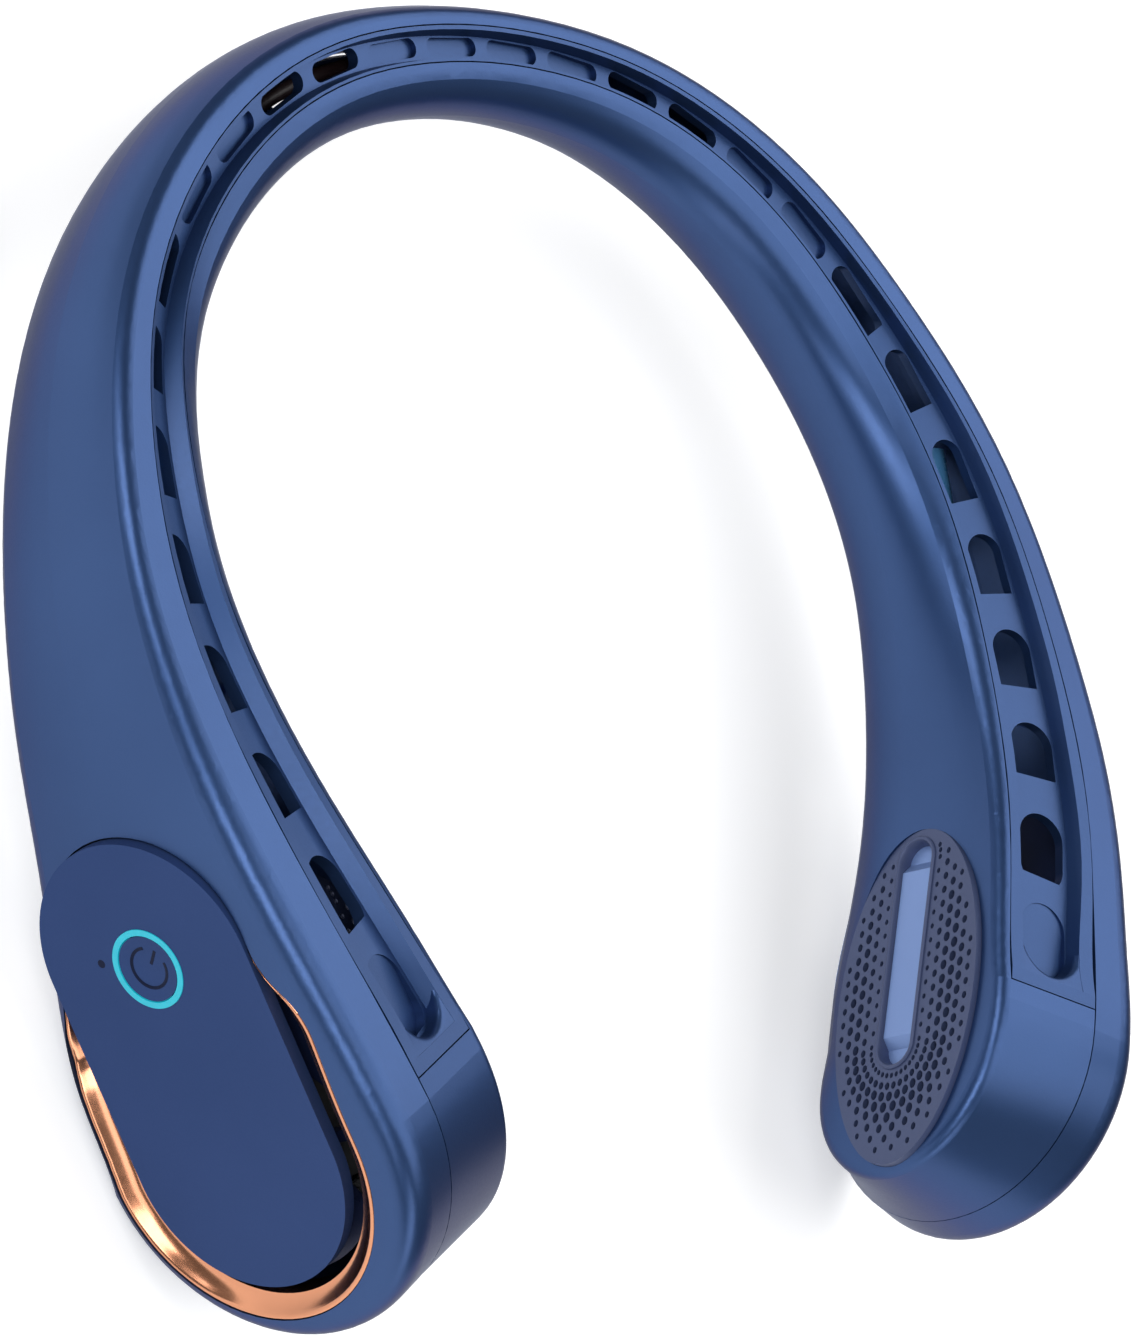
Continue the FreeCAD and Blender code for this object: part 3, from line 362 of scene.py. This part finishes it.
def circle(tree, sides):
    return geoNode(tree, "GeometryNodeCurvePrimitiveCircle", {"Resolution": sides, "Radius": 1.0})[0]


# points on one row are copied to all rows: each copy is drawn in or out from the trough's middle line
def holePoints(tree, given, spot):
    half, middle = given["troughHalf"], given["middleRow"]
    middleLine = oblong(tree, half, middle, given["rowCorners"])
    ring = geoNode(tree, "GeometryNodeCurveToPoints", {"Curve": middleLine, "Count": given["holes"]},
                   mode="COUNT")
    copies = geoNode(tree, "GeometryNodeDuplicateElements", {"Geometry": ring[0], "Amount": given["rows"]},
                     domain="POINT")
    row = copies["Duplicate Index"]
    start = geoMath(tree, "MAXIMUM", spot[0], geoMath(tree, "MULTIPLY", half, -1.0))
    start = geoMath(tree, "MINIMUM", start, half)
    away = geoMath(tree, "ADD", given["firstRow"], geoMath(tree, "MULTIPLY", row, given["rowPitch"]))
    share = geoMath(tree, "DIVIDE", away, middle)
    beyond = geoMath(tree, "MULTIPLY", geoMath(tree, "SUBTRACT", spot[0], start), share)
    alongX = geoMath(tree, "SUBTRACT", geoMath(tree, "ADD", start, beyond), given["troughBack"])
    acrossY = geoMath(tree, "SUBTRACT", geoMath(tree, "MULTIPLY", spot[1], share), given["troughDrop"])
    moved = geoNode(tree, "GeometryNodeSetPosition", {"Geometry": copies["Geometry"],
                                                      "Position": geoVector(tree, alongX, acrossY)})
    return moved[0], row


# every second point goes, so that the rows are staggered, and so does what lies on the plate's rim
def keptPoints(tree, given, points, row, oval):
    index = geoNode(tree, "GeometryNodeInputIndex")[0]
    number = geoMath(tree, "FLOOR", geoMath(tree, "DIVIDE", index, given["rows"]))
    odd = geoMath(tree, "MODULO", geoMath(tree, "ADD", number, row), 2.0)
    spare = geoMath(tree, "MAXIMUM", odd, geoMath(tree, "GREATER_THAN", oval, given["rimShare"]))
    return geoNode(tree, "GeometryNodeDeleteGeometry", {"Geometry": points, "Selection": spare},
                   domain="POINT")[0]


def holeRadius(tree, given, row, oval):
    fromTrough = geoMath(tree, "ADD", geoMath(tree, "MULTIPLY", row, given["rowPitch"]), given["troughLead"])
    fromTrough = geoMath(tree, "DIVIDE", fromTrough, given["troughRise"])
    fromRim = geoMath(tree, "DIVIDE", geoMath(tree, "SUBTRACT", 1.0, oval), given["rimFade"])
    swell = geoMath(tree, "MINIMUM", geoMath(tree, "MINIMUM", fromTrough, fromRim), 1.0)
    step = geoMath(tree, "SUBTRACT", given["largeHole"], given["smallHole"])
    return geoMath(tree, "ADD", given["smallHole"], geoMath(tree, "MULTIPLY", step, swell))


def perforatedPlate():
    tree, given = startTree("perforatedPlate", grille)
    spot = geoNode(tree, "ShaderNodeSeparateXYZ", {0: geoNode(tree, "GeometryNodeInputPosition")[0]})
    points, row = holePoints(tree, given, spot)
    flat = geoVector(tree, geoMath(tree, "DIVIDE", spot[0], given["halfLength"]),
                     geoMath(tree, "DIVIDE", spot[1], given["halfHeight"]))
    oval = geoNode(tree, "ShaderNodeVectorMath", {0: flat}, operation="LENGTH")["Value"]
    radius = holeRadius(tree, given, row, oval)
    stretched = geoVector(tree, geoMath(tree, "MULTIPLY", radius, given["stretch"]), radius, 1.0)
    punched = geoNode(tree, "GeometryNodeInstanceOnPoints",
                      {"Points": keptPoints(tree, given, points, row, oval),
                       "Instance": circle(tree, given["holeSides"]), "Scale": stretched})
    holes = geoNode(tree, "GeometryNodeRealizeInstances", {0: punched[0]})
    rim = geoNode(tree, "GeometryNodeTransform",
                  {"Geometry": circle(tree, given["rimSides"]),
                   "Scale": geoVector(tree, given["halfLength"], given["halfHeight"], 1.0)})
    shift = geoVector(tree, geoMath(tree, "MULTIPLY", given["troughBack"], -1.0),
                      geoMath(tree, "MULTIPLY", given["troughDrop"], -1.0))
    troughEdge = oblong(tree, given["troughHalf"], given["openRadius"], given["openCorners"])
    opening = geoNode(tree, "GeometryNodeTransform", {"Geometry": troughEdge, "Translation": shift})
    face = geoNode(tree, "GeometryNodeFillCurve", {"Curve": geoJoin(tree, (holes[0], rim[0], opening[0]))})
    depth = geoVector(tree, 0.0, 0.0, geoMath(tree, "MULTIPLY", given["thick"], -1.0))
    walls = geoNode(tree, "GeometryNodeExtrudeMesh", {"Mesh": face[0], "Offset": depth, "Individual": False},
                    mode="FACES")
    turnedWalls = geoNode(tree, "GeometryNodeFlipFaces", {0: walls[0]})
    whole = geoNode(tree, "GeometryNodeRealizeInstances", {0: geoJoin(tree, (face[0], turnedWalls[0]))})
    dressed = geoNode(tree, "GeometryNodeSetMaterial", {"Geometry": whole[0], "Material": given["finish"]})
    tree.links.new(dressed[0], tree.nodes.new("NodeGroupOutput").inputs[0])
    return tree


# the trough: raised rim, sloping wall, and a bar inside with a facet at each end; its floor and bar get a
# lighter blue, painted light falling on them
# profile and underside: distance from the middle line and height, bar: half length, half width and height
trough = {"underside": (3.85, -2.5), "arcSteps": 14,
          "profile": ((3.85, -1.5), (3.85, -0.05), (3.78, 0.22), (3.55, 0.36), (3.25, 0.3), (3.02, 0.02),
                      (2.75, -1.6)),
          "barFoot": (14.6, 2.74, -1.59), "barTop": (13.0, 2.86, -0.32)}


def troughLoop(bm, radius, height):
    loop = []
    for end, halfTurn in ((1, 0), (-1, math.pi)):
        for step in range(trough["arcSteps"] + 1):
            angle = math.pi * (step / trough["arcSteps"] - 0.5) + halfTurn
            x = end * grille["troughHalf"] + radius * math.cos(angle) - grille["troughBack"]
            loop.append(bm.verts.new((x, radius * math.sin(angle) - grille["troughDrop"], height)))
    return loop


def barCorners(bm, length, width, height):
    return [bm.verts.new((sx * length - grille["troughBack"], sy * width - grille["troughDrop"], height))
            for sx, sy in ((1, 1), (-1, 1), (-1, -1), (1, -1))]


# the rim keeps the grille's blue, the floor and bar take the lighter blue that paints light on them
def addTrough(bm, rimFinish, paintedLightFinish):
    loops = [troughLoop(bm, *pair) for pair in (trough["underside"], *trough["profile"])]
    joinRows(bm, loops, finish=rimFinish)
    bm.faces.new(loops[0]).material_index = rimFinish
    bm.faces.new(loops[-1]).material_index = paintedLightFinish
    bar = [barCorners(bm, *trough["barFoot"]), barCorners(bm, *trough["barTop"])]
    joinRows(bm, bar, finish=paintedLightFinish)
    for corners in bar:
        bm.faces.new(corners).material_index = paintedLightFinish


plateTree = perforatedPlate()
for side, label in bothPods:
    plate = meshFromTree(plateTree, grille, looks["grilleBlue"])
    bm = bmesh.new()
    bm.from_mesh(plate)
    # the lighter blue that paints light on the trough's floor and bar
    plate.materials.append(looks["troughBlue"])
    addTrough(bm, plate.materials.find("grilleBlue"), plate.materials.find("troughBlue"))
    bm.to_mesh(plate)
    bm.free()
    finishPiece(label + "PerforatedGrille", plate, podMatrix(side, True), "housing",
                (label + "_inner_grille",))
    print(label, "grille:", len(plate.polygons), "faces")

# copper trim rings: rounded lip flush with the shell, then a cove down to the recess
# lip: distance in from the outline and drop below the shell's edge
trim = {"lower": 21.95, "upper": 17.4, "lobe": 29.4, "flare": 14.0, "middle": -14.0,
        "flareSteps": 30, "straightSteps": 12, "arcSteps": 24, "widening": 1.4,
        "low": 13.02, "inset": 2.95, "proud": 0.06, "plainTop": 18.0, "probeHeight": 30.0, "probeOut": 0.4,
        "lip": ((0.0, -0.5), (0.06, -0.14), (0.3, 0.0), (0.55, -0.04), (0.78, -0.3)),
        "coveSteps": 8, "coveDrop": 1.7, "covePower": 1.7, "sharpAngle": 50}


# outline from the upper lobe down one side, round the lower lobe and back: x, z and share of the full width
def trimOutline():
    lobe, end = -trim["lobe"], trim["flare"] - trim["lobe"]
    narrow, wide = trim["upper"], trim["lower"]
    half = []
    for step in range(1, trim["flareSteps"]):
        share = step / trim["flareSteps"]
        bend = 2 * share ** 2 if share < 0.5 else 1 - 2 * (1 - share) ** 2
        half.append((lobe + (end - lobe) * share, narrow + (wide - narrow) * bend,
                     min(1.0, share * trim["widening"])))
    half += [(end * (1 - k / trim["straightSteps"]), wide, 1.0) for k in range(trim["straightSteps"])]
    for k in range(trim["arcSteps"] + 1):
        angle = math.pi / 2 * k / trim["arcSteps"]
        half.append((wide * math.sin(angle), wide * math.cos(angle), 1.0))
    return half + [(x, -z, width) for x, z, width in reversed(half[:-1])]


def trimSection(top, width):
    inset = trim["inset"] * width
    section = [(0.0, trim["low"])] + [(inward * width, top + drop) for inward, drop in trim["lip"]]
    edge, brink = section[-1]
    for k in range(1, trim["coveSteps"] + 1):
        share = k / trim["coveSteps"]
        fall = trim["coveDrop"] * (1 - (1 - share) ** trim["covePower"])
        section.append((edge + (inset - edge) * share, brink - fall))
    return section + [(inset, trim["low"])]


def trimRing(side, label):
    place = podMatrix(side)
    shell = BVHTree.FromObject(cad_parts["outer_shell"], bpy.context.evaluated_depsgraph_get())
    outward = (place.to_3x3() @ Vector((0, 1, 0))).normalized()
    outline = trimOutline()
    bm = bmesh.new()
    rows = []
    for i, (x, z, width) in enumerate(outline):
        run = runAt(outline, i)
        inX, inZ = run[1], -run[0]
        if inX * (trim["middle"] - x) - inZ * z <= 0:
            inX, inZ = -inX, -inZ
        out = trim["probeOut"]
        probe = place @ Vector((x - inX * out, trim["probeHeight"], z - inZ * out))
        hit = shell.ray_cast(probe, -outward, trim["probeHeight"] * millimetre)[0]
        top = trim["plainTop"]
        if hit:
            top = trim["probeHeight"] - (probe - hit).length / millimetre + trim["proud"]
        rows.append([bm.verts.new((x + inX * inward, y, z + inZ * inward))
                     for inward, y in trimSection(top, width)])
    joinRows(bm, rows)
    capEnds(bm, rows)
    name = label + "CopperTrim"
    finishPiece(name, pieceMesh(name, bm, "copperTrim"), place, "housing",
                (label + "_trim_ring",), trim["sharpAngle"])


for side, label in bothPods:
    trimRing(side, label)
print("copper trims made")

# rounded ends of the top outlet strip's channel: the strip's top is a plane that rises along and across
# innerY and outerY: the channel's sides at its end wall and where the rounding starts
stripEnd = {"wallX": -6.42, "startX": -12.3, "innerY": (-4.6, -4.3), "outerY": (6.9, 6.1), "overlap": 0.1,
            "middleY": 0.95, "radius": 5.0, "thick": 2.5, "steps": 24,
            "corner": (-6.49, -4.49, 24.4), "riseAlong": 0.18, "riseAcross": 0.196,
            "rounding": ((0.7, 0.0), (0.42, -0.05), (0.16, -0.22), (0.03, -0.5), (0.0, -0.9))}


def stripPoint(bm, x, y, drop):
    cornerX, cornerY, height = stripEnd["corner"]
    top = height + stripEnd["riseAcross"] * (y - cornerY) + stripEnd["riseAlong"] * (x - cornerX)
    return bm.verts.new((x, y, top + drop))


def stripArc(bm, grow, drop):
    reach = stripEnd["radius"] + grow
    arc = []
    for step in range(stripEnd["steps"] + 1):
        turn = math.pi * (step / stripEnd["steps"] - 0.5)
        y = stripEnd["middleY"] + reach * math.sin(turn)
        y = min(max(y, stripEnd["innerY"][1]), stripEnd["outerY"][1])
        arc.append(stripPoint(bm, stripEnd["startX"] + reach * math.cos(turn), y, drop))
    return arc


def stripBounds(bm, drop):
    inner, outer = stripEnd["innerY"], stripEnd["outerY"]
    return [stripPoint(bm, stripEnd["startX"], outer[1] + stripEnd["overlap"], drop),
            stripPoint(bm, stripEnd["wallX"], outer[0], drop),
            stripPoint(bm, stripEnd["wallX"], inner[0], drop),
            stripPoint(bm, stripEnd["startX"], inner[1] - stripEnd["overlap"], drop)]


def stripEndFrame(side, label):
    bm = bmesh.new()
    arcs = [stripArc(bm, *pair) for pair in (*stripEnd["rounding"], (0.0, -stripEnd["thick"]))]
    top, bottom = stripBounds(bm, 0.0), stripBounds(bm, -stripEnd["thick"])
    joinRows(bm, arcs, closed=False)
    joinRows(bm, [top, bottom], closed=False)
    bm.faces.new(arcs[0] + top)
    bm.faces.new(arcs[-1] + bottom)
    bm.faces.new([arc[-1] for arc in arcs] + [bottom[0], top[0]])
    bm.faces.new([arc[0] for arc in arcs] + [bottom[-1], top[-1]])
    name = label + "StripEnd"
    finishPiece(name, pieceMesh(name, bm, "stripBlue"), podMatrix(side), "housing")


for side, label in bothPods:
    stripEndFrame(side, label)
print("strip ends made")

# dark blocks on the guards behind the upper end of each cover, painted shade: they close the view past the
# guard, where only shade is seen
shadeBlock = {"centre": -29.4, "inner": 14.4, "outer": 17.3, "low": 13.02, "high": 14.2, "steps": 32}


def coverShadeBlock(side, label):
    bm = bmesh.new()
    section = [(shadeBlock[reach], shadeBlock[height]) for reach, height in
               (("inner", "low"), ("outer", "low"), ("outer", "high"), ("inner", "high"))]
    rows = []
    for step in range(shadeBlock["steps"] + 1):
        turn = math.pi * (step / shadeBlock["steps"] + 0.5)
        rows.append([bm.verts.new((shadeBlock["centre"] + reach * math.cos(turn), height, reach * math.sin(turn)))
                     for reach, height in section])
    joinRows(bm, rows)
    capEnds(bm, rows)
    name = label + "CoverSeal"
    # painted shade: a black block put where the inside of the pod lies in shade
    finishPiece(name, pieceMesh(name, bm, "ductBlack"), podMatrix(side), "housing")


for side, label in bothPods:
    coverShadeBlock(side, label)
print("cover shade blocks made")

# power symbol in the button's dish: an open ring and a bar across the gap
symbol = {"centreX": -29.0, "face": 18.6, "dish": 0.5, "buttonRadius": 4.6, "radius": 2.8, "line": 0.45,
          "gap": 38, "bar": (0.6, 3.0), "heading": 135, "proud": 0.04, "sunk": 0.12,
          "ringSteps": 40, "barSteps": 6}


def dishHeight(distance):
    ball = (symbol["buttonRadius"] ** 2 + symbol["dish"] ** 2) / (2 * symbol["dish"])
    return symbol["face"] - symbol["dish"] + ball - math.sqrt(ball ** 2 - distance ** 2)


def ribbon(bm, centreLine):
    halfLine = symbol["line"] / 2
    section = ((-halfLine, -symbol["sunk"]), (-halfLine, symbol["proud"]),
               (halfLine, symbol["proud"]), (halfLine, -symbol["sunk"]))
    rows = []
    for i, (x, z) in enumerate(centreLine):
        run = runAt(centreLine, i)
        row = []
        for sideways, lift in section:
            px, pz = x - run[1] * sideways, z + run[0] * sideways
            height = dishHeight(math.hypot(px, pz)) + lift
            row.append(bm.verts.new((px + symbol["centreX"], height, pz)))
        rows.append(row)
    joinRows(bm, rows)
    capEnds(bm, rows)


def powerSymbol():
    bm = bmesh.new()
    heading, gap = math.radians(symbol["heading"]), math.radians(symbol["gap"])
    ring = []
    for k in range(symbol["ringSteps"] + 1):
        angle = heading + gap + (2 * math.pi - 2 * gap) * k / symbol["ringSteps"]
        ring.append((symbol["radius"] * math.cos(angle), symbol["radius"] * math.sin(angle)))
    ribbon(bm, ring)
    low, high = symbol["bar"]
    reaches = [low + (high - low) * k / symbol["barSteps"] for k in range(symbol["barSteps"] + 1)]
    ribbon(bm, [(reach * math.cos(heading), reach * math.sin(heading)) for reach in reaches])
    mesh = pieceMesh("powerSymbol", bm, "symbolNavy")
    finishPiece("powerSymbol", mesh, podMatrix(-1), "button")


powerSymbol()
print("power symbol made")

# stage: pale floor just under the pods, seen as white by the camera and in reflections
stage = {"gap": 0.0006, "middle": (0, -0.08), "floorSize": 6.0, "floorTone": 0.8, "floorRough": 0.9,
         "floorSpecular": 0.1, "floorLift": 0.38, "world": 0.2}


def shaderMath(tree, operation, first, second):
    node = tree.nodes.new("ShaderNodeMath")
    node.operation = operation
    tree.links.new(first, node.inputs[0])
    if isinstance(second, bpy.types.NodeSocket):
        tree.links.new(second, node.inputs[1])
    else:
        node.inputs[1].default_value = second
    return node.outputs[0]


def makeFloor():
    floorZ = cadBox[0][2] - stage["gap"]
    bpy.ops.mesh.primitive_plane_add(size=stage["floorSize"], location=(*stage["middle"], floorZ))
    floor = bpy.context.object
    floor.name = "floor"
    mat, tree, shader = newMaterial("paleFloor")
    tone = stage["floorTone"]
    shader.inputs["Base Color"].default_value = (tone, tone, tone, 1)
    shader.inputs["Roughness"].default_value = stage["floorRough"]
    shader.inputs["Specular IOR Level"].default_value = stage["floorSpecular"]
    path = tree.nodes.new("ShaderNodeLightPath").outputs
    seen = shaderMath(tree, "MAXIMUM", path["Is Camera Ray"], path["Is Glossy Ray"])
    seen = shaderMath(tree, "MAXIMUM", seen, path["Is Transmission Ray"])
    lift = shaderMath(tree, "MULTIPLY", seen, stage["floorLift"])
    shader.inputs["Emission Color"].default_value = (1, 1, 1, 1)
    tree.links.new(lift, shader.inputs["Emission Strength"])
    floor.data.materials.append(mat)


def makeWorld():
    world = bpy.data.worlds.new("studio")
    scene.world = world
    world.use_nodes = True
    background = world.node_tree.nodes["Background"]
    background.inputs["Color"].default_value = (1, 1, 1, 1)
    background.inputs["Strength"].default_value = stage["world"]


# soft lights: direction and distance from the camera's target, width and height, power
softboxes = {
    "keySoftbox": {"direction": (-0.752, -0.132, 0.646), "distance": 1.1, "size": (0.5, 0.5), "watts": 4.2},
    "ridgeSoftbox": {"direction": (-0.66, 0.54, 0.53), "distance": 0.9, "size": (0.4, 0.5), "watts": 3.0},
    "zenithSoftbox": {"direction": (0.22, -0.22, 0.95), "distance": 0.9, "size": (0.6, 0.9), "watts": 3.4},
    "topSoftbox": {"direction": (0.68, 0.33, 0.65), "distance": 0.9, "size": (0.7, 0.8), "watts": 4.4},
    "podSoftbox": {"direction": (-0.716, -0.543, 0.44), "distance": 0.9, "size": (0.4, 0.3), "watts": 0.75},
    "rightSoftbox": {"direction": (-0.10, -0.95, 0.30), "distance": 0.9, "size": (0.3, 0.6), "watts": 1.4},
}


def areaLight(name, setting):
    lamp = bpy.data.lights.new(name, "AREA")
    lamp.shape = "RECTANGLE"
    lamp.size, lamp.size_y = setting["size"]
    lamp.energy = setting["watts"]
    obj = bpy.data.objects.new(name, lamp)
    where = Vector(setting["direction"]).normalized() * setting["distance"]
    obj.location = Vector(view["target"]) + where
    obj.rotation_euler = (-where).to_track_quat("-Z", "Y").to_euler()
    scene.collection.objects.link(obj)


makeFloor()
makeWorld()
for name, setting in softboxes.items():
    areaLight(name, setting)
scene.view_settings.view_transform = "Standard"
print("stage and lights set")
